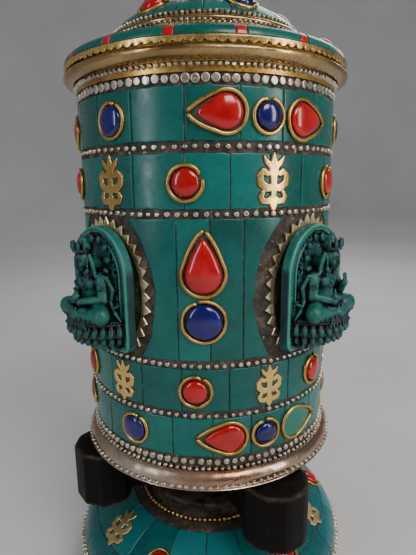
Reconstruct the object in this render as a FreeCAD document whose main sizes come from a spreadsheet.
import FreeCAD, Part
import math
import os
import re
import Sketcher

# Table prayer wheel: a tiled drum that turns on a fixed spindle above a domed
# base, with a lift-off lid. Millimetres, +Z up, origin on the table under the axis.
# Angles are measured from the front (-Y), positive toward +X.

doc = FreeCAD.newDocument("PrayerWheel")
sheet = doc.addObject("Spreadsheet::Sheet", "Sizes")

SIZES = {
    # drum, from the inside out
    "can_inner_radius": 50.5,
    "can_outer_radius": 51.5,
    "mastic_radius": 52.5,
    "drum_radius": 54.0,
    "drum_bottom": 80.0,
    "drum_top": 229.0,
    "mastic_bottom": 86.8,
    # tile bands
    "band_top_low": 207.5,
    "band_top_high": 225.3,
    "band_upper_low": 185.3,
    "band_upper_high": 204.3,
    "band_figure_low": 130.5,
    "band_figure_high": 182.7,
    "band_lower_low": 110.7,
    "band_lower_high": 127.9,
    "band_bottom_low": 91.9,
    "band_bottom_high": 108.1,
    # bead rows on the drum
    "row_radius": 54.2,
    "row_bead": 1.3,
    "row_bead_large": 1.6,
    "row_top_height": 227.2,
    "row_two_height": 206.2,
    "row_three_height": 184.0,
    "row_four_height": 129.2,
    "row_five_height": 109.4,
    "row_bottom_height": 90.2,
    # rim under the tiles
    "rim_radius": 54.2,
    "rim_round": 3.4,
    "rim_height": 83.4,
    "rim_bead": 0.85,
    "rim_bead_upper_radius": 54.7,
    "rim_bead_upper_height": 87.65,
    "rim_bead_lower_radius": 57.9,
    "rim_bead_lower_height": 81.4,
    # inside of the drum
    "floor_thick": 2.0,
    "spindle_radius": 4.0,
    "running_gap": 0.05,
    "bush_radius": 8.0,
    "core_radius": 10.0,
    "roll_radius": 48.0,
    "spindle_top": 212.0,
    "plate_thick": 4.0,
    "bush_length": 14.0,
    # wooden cross
    "hub_radius": 27.0,
    "wood_bottom": 55.0,
    "knob_radius": 13.6,
    "knob_reach": 55.4,
    "arm_width": 19.0,
    "arm_thick": 20.0,
    # stones and their wire settings
    "stone_rise": 2.4,
    "setting_rise": 1.4,
    "inlay_rise": 0.7,
    "wire": 1.1,
    "round_radius": 6.6,
    "round_stone": 4.4,
    "large_round_radius": 8.4,
    "large_round_stone": 6.2,
    "drop_radius": 7.5,
    "drop_tip": 14.2,
    "drop_stone_radius": 5.5,
    "drop_stone_tip": 9.8,
    "tall_drop_radius": 8.4,
    "tall_drop_tip": 17.0,
    "tall_drop_stone_radius": 6.5,
    "tall_drop_stone_tip": 13.2,
    "ornament_rise": 2.3,
    "ornament_round": 3.4,
    "ornament_upper_tip": 12.4,
    "ornament_lower_tip": 10.4,
    "ornament_upper_height": 194.6,
    "ornament_lower_height": 119.2,
    # figure plaques
    "plaque_half_width": 17.4,
    "plaque_bottom": 131.3,
    "plaque_spring": 161.4,
    "plaque_face": 58.2,
    "plaque_back": 54.6,
    "lug_half_width": 9.0,
    "lug_half_height": 15.0,
    "opening_half_width": 23.7,
    "opening_half_height": 33.0,
    "opening_height": 154.0,
    "frame_half_width": 19.8,
    "frame_half_height": 26.4,
    "frame_strip": 2.6,
    "frame_rise": 0.9,
    # base
    "base_round": 64.6,
    "base_skin": 2.0,
    "foot_radius": 66.0,
    "foot_round": 5.5,
    "foot_bead": 1.4,
    "belt_bead": 1.7,
    "belt_height": 24.0,
    "neck_radius": 32.6,
    "neck_bottom": 44.4,
    "neck_top": 53.0,
    "neck_bead": 1.5,
    "neck_bead_height": 46.6,
    "washer_radius": 12.0,
    "washer_thick": 1.9,
    "nut_chamber_radius": 13.0,
    "nut_chamber_top": 14.0,
    "plate_low_thick": 1.5,
    "nut_radius": 9.0,
    "nut_thick": 6.0,
    # lid
    "spigot_radius": 50.4,
    "spigot_wall": 1.2,
    "spigot_bottom": 221.0,
    "lid_seam": 243.4,
    "lid_bead": 0.95,
    "lid_bead_radius": 54.9,
    "lid_bead_height": 231.2,
    "step_bead": 0.9,
    "step_bead_radius": 42.1,
    "step_bead_height": 247.9,
    "upper_bead": 1.0,
    "upper_bead_radius": 39.4,
    "upper_bead_height": 251.1,
    "insert_width": 3.6,
    "lid_stone_reach": 32.0,
    "lid_stone_height": 257.7,
    "lid_stone": 4.9,
    "lid_setting": 6.6,
    "finial_base": 264.4,
    "finial_collar_radius": 10.6,
    "finial_collar_height": 3.4,
    "finial_bulb_radius": 11.0,
    "finial_bulb_half": 10.5,
    "finial_bulb_height": 276.6,
    "finial_ring_height": 286.6,
    "finial_ring_radius": 6.2,
    "finial_ring_round": 1.7,
    "finial_tip_radius": 5.4,
    "finial_tip_top": 302.0,
}

for number, (alias, value) in enumerate(SIZES.items(), start=1):
    sheet.set(f"A{number}", alias)
    sheet.set(f"B{number}", str(value))
    sheet.setAlias(f"B{number}", alias)
doc.recompute()

nodes = []
counter = {"count": 0}


def formula(text):
    """Point every size name in the text at the sheet."""
    return re.sub(r"[a-z][a-z_]+[a-z]", lambda word: "Sizes." + word.group(0), str(text))


def make(kind, bindings, position=None, rotation=None, label=None):
    counter["count"] += 1
    thing = doc.addObject(kind, label or f"shape_{counter['count']}")
    for name, text in bindings.items():
        thing.setExpression(name, formula(text))
    if rotation:
        thing.Placement.Rotation = rotation
    for name, text in zip(("x", "y", "z"), position or ()):
        if text != 0:
            thing.setExpression("Placement.Base." + name, formula(text))
    return thing


def node(thing, label):
    """Give a finished piece its name and list it for export."""
    thing.Label = label
    nodes.append(thing)
    return thing


def cut(base, tool):
    thing = make("Part::Cut", {})
    thing.Base = base
    thing.Tool = tool
    return thing


def common(base, tool):
    thing = make("Part::Common", {})
    thing.Base = base
    thing.Tool = tool
    return thing


def fuse(things):
    if len(things) == 1:
        return things[0]
    thing = make("Part::MultiFuse", {})
    thing.Shapes = things
    return thing


def cylinder(radius, low, high, position=(0, 0), rotation=None):
    return make("Part::Cylinder", {"Radius": radius, "Height": f"{high} - ({low})"},
                (position[0], position[1], low), rotation)


def tube(inner, outer, low, high):
    return cut(cylinder(outer, low, high), cylinder(inner, f"{low} - 1", f"{high} + 1"))


def torus(major, minor, height):
    return make("Part::Torus", {"Radius1": major, "Radius2": minor}, (0, 0, height))


def stack(profile):
    """A turned solid from (height, radius) pairs."""
    parts = []
    for (low, wide), (high, narrow) in zip(profile, profile[1:]):
        if abs(wide - narrow) < 1e-6:
            parts.append(make("Part::Cylinder", {"Radius": wide, "Height": high - low}, (0, 0, low)))
        else:
            values = {"Radius1": wide, "Radius2": narrow, "Height": high - low}
            parts.append(make("Part::Cone", values, (0, 0, low)))
    return fuse(parts)


def facing(angle, turn=0.0, tilt=0.0):
    """Rotation whose local X runs sideways, Y up and Z outward at an angle round the axis."""
    a = math.radians(angle)
    side = FreeCAD.Vector(math.cos(a), math.sin(a), 0)
    up = FreeCAD.Vector(0, 0, 1)
    out = FreeCAD.Vector(math.sin(a), -math.cos(a), 0)
    upright = FreeCAD.Rotation(side, up, out, "XYZ")
    leaning = FreeCAD.Rotation(FreeCAD.Vector(1, 0, 0), -tilt)
    turned = FreeCAD.Rotation(FreeCAD.Vector(0, 0, 1), turn)
    return upright * leaning * turned


def polar(reach, angle, height):
    a = math.radians(angle)
    return (f"({reach}) * ({math.sin(a):.9f})", f"({reach}) * ({-math.cos(a):.9f})", height)


def drop_sketch(radius, tip):
    """Outline of a drop: a round end at the origin and a point on +X."""
    counter["count"] += 1
    outline = doc.addObject("Sketcher::SketchObject", f"outline_{counter['count']}")
    r = SIZES[radius]
    t = SIZES[tip]
    lean = math.acos(r / t)
    centre = FreeCAD.Vector(0, 0, 0)
    circle = Part.Circle(centre, FreeCAD.Vector(0, 0, 1), r)
    start = FreeCAD.Vector(r * math.cos(lean), r * math.sin(lean), 0)
    end = FreeCAD.Vector(r * math.cos(lean), -r * math.sin(lean), 0)
    point = FreeCAD.Vector(t, 0, 0)
    outline.addGeometry(Part.ArcOfCircle(circle, lean, 2 * math.pi - lean), False)
    outline.addGeometry(Part.LineSegment(end, point), False)
    outline.addGeometry(Part.LineSegment(point, start), False)
    outline.addConstraint(Sketcher.Constraint("Coincident", 0, 3, -1, 1))
    outline.addConstraint(Sketcher.Constraint("Tangent", 0, 2, 1, 1))
    outline.addConstraint(Sketcher.Constraint("Coincident", 1, 2, 2, 1))
    outline.addConstraint(Sketcher.Constraint("Tangent", 2, 2, 0, 1))
    outline.addConstraint(Sketcher.Constraint("PointOnObject", 1, 2, -1))
    wide = outline.addConstraint(Sketcher.Constraint("Radius", 0, r))
    far = outline.addConstraint(Sketcher.Constraint("DistanceX", -1, 1, 1, 2, t))
    outline.setExpression(f"Constraints[{wide}]", formula(radius))
    outline.setExpression(f"Constraints[{far}]", formula(tip))
    return outline


def arch_sketch(half, low, spring):
    """Outline of a plaque: straight sides and a round top, x = 0 on its centre line."""
    outline = doc.addObject("Sketcher::SketchObject", "arch")
    h = SIZES[half]
    z0 = SIZES[low]
    z1 = SIZES[spring]
    corners = [FreeCAD.Vector(-h, z1, 0), FreeCAD.Vector(-h, z0, 0),
               FreeCAD.Vector(h, z0, 0), FreeCAD.Vector(h, z1, 0)]
    for a, b in zip(corners, corners[1:]):
        outline.addGeometry(Part.LineSegment(a, b), False)
    circle = Part.Circle(FreeCAD.Vector(0, z1, 0), FreeCAD.Vector(0, 0, 1), h)
    outline.addGeometry(Part.ArcOfCircle(circle, 0, math.pi), False)
    for first, second in ((0, 1), (1, 2)):
        outline.addConstraint(Sketcher.Constraint("Coincident", first, 2, second, 1))
    outline.addConstraint(Sketcher.Constraint("Tangent", 2, 2, 3, 1))
    outline.addConstraint(Sketcher.Constraint("Tangent", 3, 2, 0, 1))
    outline.addConstraint(Sketcher.Constraint("Horizontal", 1))
    outline.addConstraint(Sketcher.Constraint("Vertical", 2))
    outline.addConstraint(Sketcher.Constraint("PointOnObject", 3, 3, -2))
    wide = outline.addConstraint(Sketcher.Constraint("Radius", 3, h))
    base = outline.addConstraint(Sketcher.Constraint("DistanceY", -1, 1, 0, 2, z0))
    top = outline.addConstraint(Sketcher.Constraint("DistanceY", -1, 1, 3, 3, z1))
    outline.setExpression(f"Constraints[{wide}]", formula(half))
    outline.setExpression(f"Constraints[{base}]", formula(low))
    outline.setExpression(f"Constraints[{top}]", formula(spring))
    return outline


def extrude(outline, length, position, rotation):
    thing = make("Part::Extrusion", {"LengthFwd": length}, position, rotation)
    thing.Base = outline
    thing.DirMode = "Custom"
    thing.Dir = FreeCAD.Vector(0, 0, 1)
    thing.Solid = True
    return thing


BACK = 6.0  # how far a setting starts behind the tile face before it is trimmed

outlines = {
    "drop": drop_sketch("drop_radius", "drop_tip"),
    "drop_stone": drop_sketch("drop_stone_radius", "drop_stone_tip"),
    "tall": drop_sketch("tall_drop_radius", "tall_drop_tip"),
    "tall_stone": drop_sketch("tall_drop_stone_radius", "tall_drop_stone_tip"),
    "bud": drop_sketch("ornament_round", "ornament_upper_tip"),
    "bud_small": drop_sketch("ornament_round", "ornament_lower_tip"),
}
arch = arch_sketch("plaque_half_width", "plaque_bottom", "plaque_spring")
doc.recompute()


def on_drum(name, rise, angle, height, turn=0.0, shift=(0.0, 0.0)):
    """A flat-topped raised shape on the drum, cut from an outline."""
    side, up = shift
    where = polar(f"drum_radius - {BACK}", angle + math.degrees(side / 54.0), f"{height} + {up}")
    return extrude(outlines[name], f"{rise} + {BACK}", where, facing(angle, turn))


def disc_on_drum(radius, rise, angle, height):
    where = polar(f"drum_radius - {BACK}", angle, height)
    return make("Part::Cylinder", {"Radius": radius, "Height": f"{rise} + {BACK}"},
                where, facing(angle))


def cabochon(radius, rise, angle, height):
    where = polar("drum_radius", angle, height)
    size = {"Radius1": rise, "Radius2": radius, "Radius3": radius}
    stone = make("Part::Ellipsoid", size, where, facing(angle))
    stone.Angle1 = -90
    stone.Angle2 = 90
    return stone


# ---------------------------------------------------------------- base
BASE_PROFILE = [(8.0, 58.0), (12.0, 59.5), (17.0, 62.6), (22.0, 64.4), (27.0, 64.6),
                (32.4, 62.1), (37.0, 56.8), (41.6, 48.2), (44.4, 40.0)]
CORE_PROFILE = [(0.0, 56.0)] + [(z, r - SIZES["base_skin"]) for z, r in BASE_PROFILE]
core_form = stack([(1.5, 56.0)] + CORE_PROFILE[1:-1] + [(42.6, 42.0), (44.4, 36.0)])
skin_form = stack(BASE_PROFILE)

nut_chamber = cylinder("nut_chamber_radius", "0", "nut_chamber_top")
spindle_hole = cylinder("spindle_radius", "0", "neck_top + 5")
node(cut(cut(core_form, nut_chamber), spindle_hole), "base_core")
node(cylinder("56.0", "0", "plate_low_thick"), "base_plate")
node(cut(skin_form, core_form), "base_tiles")

foot_round = torus("foot_radius - foot_round", "foot_round", "3.0")
foot_slab = tube("56.0", "foot_radius - foot_round + 3.0", "0", "8.0")
foot_solid = fuse([foot_round, foot_slab])
foot_trim = tube("56.0", "80.0", "0", "10.0")
node(cut(cut(common(foot_solid, foot_trim), core_form), skin_form), "foot_ring")

base_rows = fuse([
    torus("base_round + 0.6", "belt_bead", "belt_height"),
    torus("61.3", "foot_bead", "9.9"),
    torus("neck_radius + 0.9", "neck_bead", "neck_bead_height"),
])
neck_form = tube("spindle_radius", "neck_radius", "neck_bottom", "neck_top")
row_clear = cut(cut(cut(base_rows, skin_form), neck_form), nodes[-1])
node(row_clear, "base_bead_rows")
node(cut(neck_form, core_form), "neck_collar")

BASE_TILT = 52.0
BASE_SPOTS = 6
BASE_FIRST = 36.0
base_settings = []
base_stones = []
base_buds = []
for index in range(BASE_SPOTS):
    spin = BASE_FIRST + index * 360.0 / BASE_SPOTS
    seat = facing(spin, 0.0, BASE_TILT)
    where = polar("50.2", spin, "34.4")
    base_settings.append(make("Part::Cylinder", {"Radius": "round_radius", "Height": "7.6"}, where, seat))
    size = {"Radius1": "2.6", "Radius2": "round_stone", "Radius3": "round_stone"}
    stone = make("Part::Ellipsoid", size, polar("53.8", spin, "38.8"), seat)
    stone.Angle1 = -90
    stone.Angle2 = 90
    base_stones.append(stone)
    bud_spin = spin + 180.0 / BASE_SPOTS
    bud_seat = facing(bud_spin, 90.0, BASE_TILT)
    bud = extrude(outlines["bud_small"], "8.4", polar("50.2", bud_spin, "32.0"), bud_seat)
    base_buds.append(bud)
stone_wells = []
for index in range(BASE_SPOTS):
    spin = BASE_FIRST + index * 360.0 / BASE_SPOTS
    seat = facing(spin, 0.0, BASE_TILT)
    well = make("Part::Cylinder", {"Radius": "round_radius - wire", "Height": "20.0"},
                polar("46.0", spin, "31.0"), seat)
    stone_wells.append(well)
setting_rings = cut(fuse(base_settings), fuse(stone_wells))
brass = cut(cut(fuse([setting_rings] + base_buds), skin_form), base_rows)
node(brass, "base_brasswork")
node(cut(cut(fuse(base_stones), skin_form), brass), "base_corals")

node(cylinder("spindle_radius", "plate_low_thick", "spindle_top"), "spindle")
nut = make("Part::Prism", {"Circumradius": "nut_radius", "Height": "nut_thick"},
           (0, 0, "nut_chamber_top - nut_thick"))
node(cut(nut, cylinder("spindle_radius", "0", "30.0")), "spindle_nut")
node(tube("spindle_radius", "washer_radius", "neck_top", "neck_top + washer_thick"), "thrust_washer")

# ---------------------------------------------------------------- wooden cross under the drum
# direction of each arm, and how much shorter it is than the usual reach
ARMS = {"arm_front_right": (28.0, 0.0), "arm_back_right": (118.0, 0.0),
        "arm_back_left": (208.0, 0.0), "arm_front_left": (295.0, 3.0)}
hub_form = cylinder("hub_radius", "wood_bottom", "drum_bottom")
node(cut(hub_form, cylinder("bush_radius", "wood_bottom - 1", "drum_bottom + 1")), "wood_hub")
for label, (angle, shorter) in ARMS.items():
    knob_place = polar(f"knob_reach - {shorter}", angle, 0)
    knob = cylinder("knob_radius", "wood_bottom", "drum_bottom", knob_place[:2])
    along = facing(angle).multVec(FreeCAD.Vector(0, 0, 1))
    across = facing(angle).multVec(FreeCAD.Vector(1, 0, 0))
    bar = make("Part::Box", {"Length": "arm_width", "Width": f"knob_reach - {20.0 + shorter}", "Height": "arm_thick"},
               (f"{20.0 * along.x:.6f} + arm_width / 2 * ({across.x:.9f})",
                f"{20.0 * along.y:.6f} + arm_width / 2 * ({across.y:.9f})",
                "drum_bottom - arm_thick"),
               FreeCAD.Rotation(-across, along, FreeCAD.Vector(0, 0, 1), "XZY"))
    node(cut(fuse([knob, bar]), hub_form), label)

# ---------------------------------------------------------------- inside of the drum
node(tube("spindle_radius + running_gap", "bush_radius", "wood_bottom", "drum_bottom + floor_thick"),
     "lower_bush")
node(tube("bush_radius", "can_inner_radius", "drum_bottom", "drum_bottom + floor_thick"), "drum_floor")
node(tube("can_inner_radius", "can_outer_radius", "drum_bottom", "drum_top"), "drum_can")
node(tube("can_outer_radius", "mastic_radius", "mastic_bottom", "drum_top"), "mastic_sleeve")
node(tube("bush_radius", "core_radius", "drum_bottom + floor_thick", "spindle_top"), "scroll_core")
node(tube("core_radius", "roll_radius", "drum_bottom + floor_thick + 2", "spindle_top - 2"),
     "scroll_roll")
node(tube("bush_radius", "can_inner_radius", "spindle_top", "spindle_top + plate_thick"), "top_plate")
cup = cylinder("bush_radius", "spindle_top + plate_thick - bush_length", "spindle_top + plate_thick")
cup_bore = cylinder("spindle_radius + running_gap", "spindle_top - bush_length",
                    "spindle_top + running_gap")
node(cut(cup, cup_bore), "upper_bush")

# ---------------------------------------------------------------- rim and bead rows
rim_outer = torus("rim_radius", "rim_round", "rim_height")
node(cut(rim_outer, cylinder("can_outer_radius", "drum_bottom - 2", "drum_bottom + 12")), "bottom_rim")
rim_rows = fuse([
    torus("rim_bead_upper_radius", "rim_bead", "rim_bead_upper_height"),
    torus("rim_bead_lower_radius", "rim_bead", "rim_bead_lower_height"),
])
node(cut(rim_rows, rim_outer), "rim_beads")

small_rows = fuse([torus("row_radius", "row_bead", height) for height in
                   ("row_two_height", "row_three_height", "row_four_height", "row_five_height")])
large_rows = [torus("row_radius", "row_bead_large", height) for height in
              ("row_top_height", "row_bottom_height")]
node(fuse([small_rows] + large_rows), "bead_rows")

# ---------------------------------------------------------------- tiles
for band in ("top", "upper", "lower", "bottom"):
    node(tube("mastic_radius", "drum_radius", f"band_{band}_low", f"band_{band}_high"), f"tiles_{band}")

PLAQUES = {"plaque_front_right": 45.0, "plaque_back_right": 135.0,
           "plaque_back_left": 225.0, "plaque_front_left": 315.0}


def oval(half_width, half_height, angle):
    """An upright oval block that runs out through the drum wall."""
    ring = make("Part::Ellipse", {"MajorRadius": half_height, "MinorRadius": half_width})
    where = polar("30.0", angle, "opening_height")
    return extrude(ring, "40.0", where, facing(angle, 90.0))


figure_band = tube("mastic_radius", "drum_radius", "band_figure_low", "band_figure_high")
openings = fuse([oval("opening_half_width", "opening_half_height", a) for a in PLAQUES.values()])
node(cut(figure_band, openings), "tiles_figure")

# ---------------------------------------------------------------- figure plaques and frames
drum_solid = cylinder("drum_radius", "60.0", "260.0")
mastic_solid = cylinder("mastic_radius", "60.0", "260.0")
plates = []
for label, angle in PLAQUES.items():
    plate = extrude(arch, "plaque_face - plaque_back", polar("plaque_back", angle, 0), facing(angle))
    # the plate stands clear of the round drum at its edges; a lug behind it carries it
    lug_ring = make("Part::Ellipse", {"MajorRadius": "lug_half_height", "MinorRadius": "lug_half_width"})
    lug = extrude(lug_ring, "plaque_back - 29.0", polar("30.0", angle, "opening_height"),
                  facing(angle, 90.0))
    plates.append(plate)
    parts = [plate, lug]
    # seat, crossed legs, body, upper arms, halo, head and crown: reach, side, height, half sizes
    forms = [(58.5, 0.0, 142.0, 13.3, 15.2, 7.4), (60.0, 0.0, 148.5, 12.0, 14.8, 4.4),
             (60.5, 0.0, 156.0, 5.6, 6.6, 9.6), (61.0, -7.2, 156.0, 4.2, 3.0, 7.0),
             (61.0, 7.2, 156.0, 4.2, 3.0, 7.0), (59.0, 0.0, 168.0, 5.6, 5.4, 8.0),
             (65.2, 0.0, 167.0, 3.9, 3.7, 4.8), (66.0, 0.0, 173.4, 3.2, 3.6, 4.3)]
    for reach, side, height, deep, wide, tall in forms:
        spin = math.radians(angle)
        x = reach * math.sin(spin) + side * math.cos(spin)
        y = -reach * math.cos(spin) + side * math.sin(spin)
        blob = make("Part::Ellipsoid", {"Radius1": deep, "Radius2": wide, "Radius3": tall},
                    (f"{x:.6f}", f"{y:.6f}", f"{height}"), facing(angle))
        blob.Angle1 = -90
        blob.Angle2 = 90
        parts.append(blob)
    node(cut(fuse(parts), mastic_solid), label)

frames = []
for angle in PLAQUES.values():
    outer = oval("frame_half_width + frame_strip / 2", "frame_half_height + frame_strip / 2", angle)
    inner = oval("frame_half_width - frame_strip / 2", "frame_half_height - frame_strip / 2", angle)
    frames.append(cut(outer, inner))
frame_shell = tube("mastic_radius", "drum_radius + frame_rise", "plaque_bottom + 1.0",
                   "band_figure_high - 0.1")
frame_rings = common(fuse(frames), frame_shell)
node(cut(frame_rings, fuse(plates)), "plaque_frames")

# ---------------------------------------------------------------- stones, settings and ornaments
round_corals = []
round_lapis = []
drops = []
settings = []
wells = []


def setting_round(angle, height, large=False):
    size = "large_round_radius" if large else "round_radius"
    settings.append(disc_on_drum(size, "setting_rise", angle, height))
    wells.append(disc_on_drum(f"{size} - wire", "setting_rise + 2", angle, height))


def setting_drop(angle, height, turn, tall=False, filled=True):
    name = "tall" if tall else "drop"
    settings.append(on_drum(name, "setting_rise", angle, height, turn))
    inner = on_drum(name + "_stone", "stone_rise + 2", angle, height, turn)
    wells.append(inner)
    if filled:
        drops.append(on_drum(name + "_stone", "stone_rise", angle, height, turn))


TOP_MIDDLE = 215.4
BOTTOM_MIDDLE = 100.0
for height, start, gap, single_gap in ((TOP_MIDDLE, 22.6, 15.6, 60.0), (BOTTOM_MIDDLE, 23.9, 15.4, 56.4)):
    for group in range(3):
        middle = start + group * 120.0
        setting_round(middle, height)
        round_lapis.append(cabochon("round_stone", "stone_rise", middle, height))
        lift = 1.5 if height == TOP_MIDDLE and group == 0 else 0.0
        setting_drop(middle - gap, height + lift, 180.0)
        lost = height == BOTTOM_MIDDLE and group == 0
        setting_drop(middle + gap, height, 0.0, filled=not lost)
        if lost:
            inlay = on_drum("drop_stone", "inlay_rise", middle + gap, height)
        single = middle - single_gap
        setting_round(single, height)
        round_lapis.append(cabochon("round_stone", "stone_rise", single, height))

# six corals to a row, set by eye
for height, angles in ((194.4, (-7.6, 59.5, 116.5, 173.0, 230.0, 287.0)),
                       (119.2, (-5.0, 51.6, 112.5, 173.0, 233.5, 294.0))):
    for angle in angles:
        setting_round(angle, height)
        round_corals.append(cabochon("round_stone", "stone_rise", angle, height))

for index in range(4):
    angle = -1.5 + index * 90.0
    setting_drop(angle, 163.0, 90.0, tall=True)
    setting_round(angle, 146.0, large=True)
    round_lapis.append(cabochon("large_round_stone", "stone_rise + 0.4", angle, 146.0))

setting_cut = cut(cut(fuse(settings), fuse(wells)), drum_solid)
node(setting_cut, "settings")
node(cut(fuse(round_corals), drum_solid), "coral_rounds")
node(cut(fuse(round_lapis), drum_solid), "lapis_rounds")
node(cut(fuse(drops), drum_solid), "coral_drops")
node(cut(inlay, drum_solid), "turquoise_inlay")

buds = []
for name, height, angles in (("bud", "ornament_upper_height", (25.2, 88.0, 144.8, 201.5, 258.5, 320.5)),
                             ("bud_small", "ornament_lower_height", (25.2, 82.0, 142.8, 203.3, 263.8, 322.2))):
    for angle in angles:
        buds.append(on_drum(name, "ornament_rise", angle, height, 90.0, (0.0, -1.0)))
        buds.append(on_drum(name, "ornament_rise", angle, height, 270.0, (0.0, 1.0)))
        buds.append(disc_on_drum("ornament_round + 1.4", "ornament_rise", angle, height))
node(cut(cut(fuse(buds), drum_solid), small_rows), "brass_ornaments")

# ---------------------------------------------------------------- lid
LID_PROFILE = [(229.0, 54.0), (232.2, 54.0), (238.5, 56.0), (241.0, 54.6), (246.4, 41.2),
               (248.6, 40.9), (251.4, 38.0), (256.4, 31.0), (261.0, 20.0), (263.5, 8.0)]
LID_HOLLOW = [(229.0, 49.2), (232.2, 52.6), (238.3, 54.4), (239.9, 53.4), (245.2, 40.2),
              (248.2, 39.4), (250.8, 36.8), (255.4, 30.2), (259.8, 19.2), (262.3, 7.4)]
lid_form = stack(LID_PROFILE)
lid_wall = cut(lid_form, stack(LID_HOLLOW))
skirt_space = cylinder("70.0", "drum_top - 5", "lid_seam")
node(common(lid_wall, skirt_space), "lid_skirt")
node(cut(lid_wall, skirt_space), "lid_shell")
node(tube("spigot_radius - spigot_wall", "spigot_radius", "spigot_bottom", "drum_top"), "lid_spigot")

lid_skins = [
    ("lid_rim", [(232.2, 55.2), (232.9, 57.4), (234.2, 58.9), (235.5, 58.4), (236.3, 57.0)]),
    ("lid_collar", [(236.3, 57.0), (238.5, 58.6)]),
    ("lid_shoulder_tiles", [(242.1, 56.0), (246.9, 43.0)]),
    ("lid_step_band", [(248.85, 41.7), (250.05, 40.4)]),
    ("lid_dome_tiles", [(252.15, 38.9), (257.6, 32.2), (262.0, 21.5), (264.4, 10.6)]),
]
skins = {}
for label, profile in lid_skins:
    skins[label] = node(cut(stack(profile), lid_form), label)

band_ring = cut(stack([(238.5, 58.6), (240.6, 58.0), (242.1, 56.0)]), lid_form)
INSERTS = 16
blocks = []
for index in range(INSERTS):
    angle = 11.25 + index * 360.0 / INSERTS
    out = facing(angle).multVec(FreeCAD.Vector(0, 0, 1))
    side = facing(angle).multVec(FreeCAD.Vector(1, 0, 0))
    block = make("Part::Box", {"Length": "insert_width", "Width": 12.0, "Height": 8.0},
                 (f"{50.0 * out.x:.6f} + insert_width / 2 * ({side.x:.9f})",
                  f"{50.0 * out.y:.6f} + insert_width / 2 * ({side.y:.9f})", "236.0"),
                 FreeCAD.Rotation(-side, out, FreeCAD.Vector(0, 0, 1), "XZY"))
    blocks.append(block)
block_set = fuse(blocks)
node(common(band_ring, block_set), "lid_inserts")
node(cut(band_ring, block_set), "lid_tile_band")

lid_rows = fuse([
    torus("lid_bead_radius", "lid_bead", "lid_bead_height"),
    torus("step_bead_radius", "step_bead", "step_bead_height"),
    torus("upper_bead_radius", "upper_bead", "upper_bead_height"),
])
node(cut(cut(lid_rows, lid_form), skins["lid_shoulder_tiles"]), "lid_bead_rows")

dome_skin = skins["lid_dome_tiles"]
shoulder_skin = skins["lid_shoulder_tiles"]
LID_STONE_LEAN = 54.0
lid_settings = []
lid_wells = []
lid_stones = {"lid_corals": [], "lid_lapis": []}
for index in range(6):
    angle = -36.0 + index * 60.0
    seat = facing(angle, 0.0, LID_STONE_LEAN)
    back = polar("lid_stone_reach - 2.4", angle, "lid_stone_height - 3.4")
    lid_settings.append(make("Part::Cylinder", {"Radius": "lid_setting", "Height": "5.6"}, back, seat))
    lid_wells.append(make("Part::Cylinder", {"Radius": "lid_setting - wire", "Height": "16.0"}, back, seat))
    size = {"Radius1": "3.4", "Radius2": "lid_stone", "Radius3": "lid_stone"}
    stone = make("Part::Ellipsoid", size, polar("lid_stone_reach", angle, "lid_stone_height"), seat)
    stone.Angle1 = -30
    stone.Angle2 = 90
    lid_stones["lid_corals" if index % 2 == 0 else "lid_lapis"].append(stone)
for angle in (65.0, 245.0):
    stone = make("Part::Ellipsoid", {"Radius1": "3.0", "Radius2": "3.2", "Radius3": "3.2"},
                 polar("50.0", angle, "244.6"), facing(angle, 0.0, 70.0))
    stone.Angle1 = -10
    stone.Angle2 = 90
    lid_stones["lid_corals"].append(stone)
lid_wire = cut(cut(cut(fuse(lid_settings), fuse(lid_wells)), dome_skin), lid_form)
lid_wire_clear = cut(cut(lid_wire, lid_rows), skins["lid_step_band"])
node(lid_wire_clear, "lid_settings")
for label, stones in lid_stones.items():
    solid = cut(cut(cut(fuse(stones), dome_skin), shoulder_skin), lid_form)
    node(cut(solid, lid_wire_clear), label)

collar = cylinder("finial_collar_radius", "finial_base - 1.5", "finial_base + finial_collar_height")
node(cut(cut(collar, dome_skin), lid_form), "finial_collar")
bulb = make("Part::Ellipsoid", {"Radius1": "finial_bulb_half", "Radius2": "finial_bulb_radius",
                                "Radius3": "finial_bulb_radius"}, (0, 0, "finial_bulb_height"))
bulb.Angle1 = -90
bulb.Angle2 = 90
bulb_cut = cut(bulb, cylinder("20.0", "finial_base - 10", "finial_base + finial_collar_height"))
ring_slab = cylinder("20.0", "finial_ring_height - 1.0", "finial_tip_top + 5")
node(cut(bulb_cut, ring_slab), "finial_bulb")
ring = torus("finial_ring_radius - finial_ring_round", "finial_ring_round", "finial_ring_height + 0.7")
ring_core = cylinder("finial_ring_radius - finial_ring_round", "finial_ring_height - 1.0",
                     "finial_ring_height + 2.4")
point = make("Part::Cone", {"Radius1": "finial_tip_radius", "Radius2": 0.8,
                            "Height": "finial_tip_top - finial_ring_height - 2.4"},
             (0, 0, "finial_ring_height + 2.4"))
node(fuse([ring, ring_core, point]), "finial_tip")

# ---------------------------------------------------------------- check and export
doc.recompute()
problems = []
for thing in doc.Objects:
    if "Invalid" in thing.State or "Error" in thing.State:
        problems.append(f"{thing.Label}: {thing.State}")
for thing in nodes:
    if thing.Shape.isNull() or not thing.Shape.isValid():
        problems.append(f"{thing.Label}: shape is empty or not valid")
    if not thing.Shape.Solids:
        problems.append(f"{thing.Label}: no solid")
if problems:
    raise RuntimeError("; ".join(problems))

os.makedirs("parts", exist_ok=True)
for thing in nodes:
    thing.Shape.exportStep(f"parts/{thing.Label}.step")
    box = thing.Shape.optimalBoundingBox(False, False)
    print(f"{thing.Label:22s} solids {len(thing.Shape.Solids):3d}  volume {thing.Shape.Volume:10.1f}"
          f"  z {box.ZMin:7.2f} to {box.ZMax:7.2f}  x {box.XMin:6.1f} to {box.XMax:6.1f}")
print(len(nodes), "nodes")
